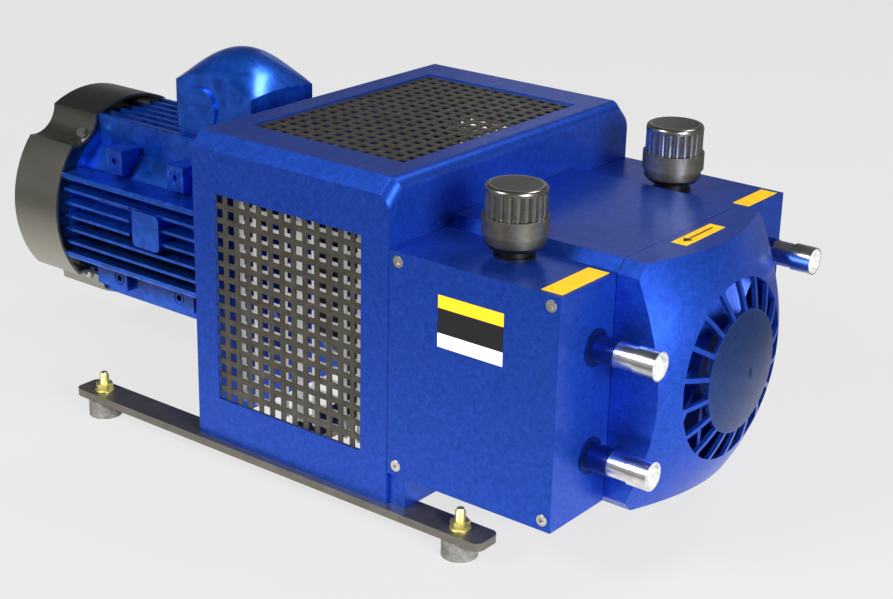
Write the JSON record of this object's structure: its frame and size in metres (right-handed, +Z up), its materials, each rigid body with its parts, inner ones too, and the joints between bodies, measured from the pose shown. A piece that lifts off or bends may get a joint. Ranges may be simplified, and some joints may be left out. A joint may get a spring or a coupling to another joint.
{
  "type": "dry vacuum pump",
  "caption": "Dry-running vacuum pump with a finned flange motor, perforated coupling cage, side chambers, regulating knobs and hose nozzles, standing on rails with rubber feet.",
  "frame": {"origin": "on the floor under the middle of the machine's box", "axes": "+X along the shaft from the motor end to the fan end, -Y the side that the picture shows, +Z up"},
  "size_m": [0.858, 0.398, 0.3635],
  "materials": {
    "blue_paint": "glossy, slightly mottled deep blue",
    "motor_paint": "satin deep blue over cast metal",
    "fan_blue": "satin deep blue",
    "rail_paint": "satin olive grey",
    "grille_paint": "satin olive grey",
    "cowl_paint": "satin grey with a warm cast",
    "rubber": "matt black",
    "spider_plastic": "matt red elastomer",
    "zinc_steel": "bright zinc plated",
    "yellow_zinc": "yellow passivated zinc",
    "cast_iron": "machined and as cast",
    "bearing_steel": "ground",
    "ground_steel": "ground",
    "core_steel": "laminated",
    "black_plastic": "matt",
    "knob_plastic": "satin moulded",
    "valve_metal": "dark satin",
    "brass": "turned",
    "spring_steel": "drawn wire",
    "nozzle_steel": "polished turned steel",
    "carbon": "dry graphite sheen",
    "filter_paper": "pleated paper",
    "label_film": "glossy yellow film",
    "inner_sheet": "pale grey paint"
  },
  "bodies": {
    "frame": {"base_rail_far": "rail_paint", "base_rail_near": "rail_paint", "bearings": "bearing_steel", "cage_shell": "blue_paint", "chamber_cover_far": "blue_paint", "chamber_cover_near": "blue_paint", "chamber_housing_far": "blue_paint", "chamber_housing_near": "blue_paint", "cover_screws": "zinc_steel", "cowl_bolts": "zinc_steel", "cross_beams": "rail_paint", "cylinder_housing": "cast_iron", "fan_cowl": "blue_paint", "filter_cartridges": "filter_paper", "foot_nuts": "yellow_zinc", "foot_studs": "zinc_steel", "front_end_cover": "cast_iron", "hose_stubs": "blue_paint", "hose_tail_far_upper": "nozzle_steel", "hose_tail_near_lower": "nozzle_steel", "hose_tail_near_upper": "nozzle_steel", "lantern": "cast_iron", "motor_fan_cowl": "cowl_paint", "motor_front_shield": "motor_paint", "motor_housing": "motor_paint", "motor_rear_shield": "motor_paint", "pump_pedestal": "cast_iron", "pump_shroud": "blue_paint", "rear_end_cover": "cast_iron", "rubber_feet": "rubber", "side_grille_far": "grille_paint", "side_grille_near": "grille_paint", "stator_core": "core_steel", "terminal_box": "motor_paint", "terminal_lid": "motor_paint", "terminal_plug": "motor_paint", "top_grille": "grille_paint", "valve_body_far": "valve_metal", "valve_body_near": "valve_metal", "valve_spring_far": "spring_steel", "valve_spring_near": "spring_steel"},
    "motor_group": {"motor_shaft": "ground_steel", "motor_rotor": "core_steel", "motor_fan": "black_plastic", "coupling_hub_motor": "cast_iron"},
    "pump_group": {"pump_shaft": "ground_steel", "pump_rotor": "cast_iron", "vanes": "carbon", "pump_fan": "fan_blue", "coupling_hub_pump": "cast_iron", "coupling_spider": "spider_plastic"},
    "knob_group_near": {"knob_near": "knob_plastic", "spindle_near": "ground_steel"},
    "plate_group_near": {"spring_plate_near": "brass"},
    "disc_group_near": {"relief_disc_near": "brass"},
    "knob_group_far": {"knob_far": "knob_plastic", "spindle_far": "ground_steel"},
    "plate_group_far": {"spring_plate_far": "brass"},
    "disc_group_far": {"relief_disc_far": "brass"}
  },
  "joints": [
    {"name": "motor_spin", "type": "hinge", "parent": "frame", "child": "motor_group", "pos_m": [-0.2, 0, 0.1675], "axis": [1, 0, 0], "continuous": true},
    {"name": "pump_spin", "type": "hinge", "parent": "frame", "child": "pump_group", "pos_m": [0.25, 0, 0.1675], "axis": [1, 0, 0], "continuous": true},
    {"name": "knob_turn_near", "type": "hinge", "parent": "frame", "child": "knob_group_near", "pos_m": [0.262, -0.13, 0.33], "axis": [0, 0, 1], "range_deg": [0, 720]},
    {"name": "plate_travel_near", "type": "slide", "parent": "frame", "child": "plate_group_near", "axis": [0, 0, 1], "range_m": [-0.003, 0], "deforming": ["valve_spring_near"]},
    {"name": "disc_lift_near", "type": "slide", "parent": "frame", "child": "disc_group_near", "axis": [0, 0, 1], "range_m": [0, 0.003], "stiffness_N_per_m": 1200, "springref_m": -0.003, "deforming": ["valve_spring_near"]},
    {"name": "knob_turn_far", "type": "hinge", "parent": "frame", "child": "knob_group_far", "pos_m": [0.262, 0.13, 0.33], "axis": [0, 0, 1], "range_deg": [0, 720]},
    {"name": "plate_travel_far", "type": "slide", "parent": "frame", "child": "plate_group_far", "axis": [0, 0, 1], "range_m": [-0.003, 0], "deforming": ["valve_spring_far"]},
    {"name": "disc_lift_far", "type": "slide", "parent": "frame", "child": "disc_group_far", "axis": [0, 0, 1], "range_m": [0, 0.003], "stiffness_N_per_m": 1200, "springref_m": -0.003, "deforming": ["valve_spring_far"]}
  ],
  "couplings": [
    {"joint": "pump_spin", "follows": "motor_spin", "ratio": 1},
    {"joint": "knob_turn_near", "follows": "plate_travel_near", "rad_per_m": -4188.8},
    {"joint": "knob_turn_far", "follows": "plate_travel_far", "rad_per_m": -4188.8}
  ]
}
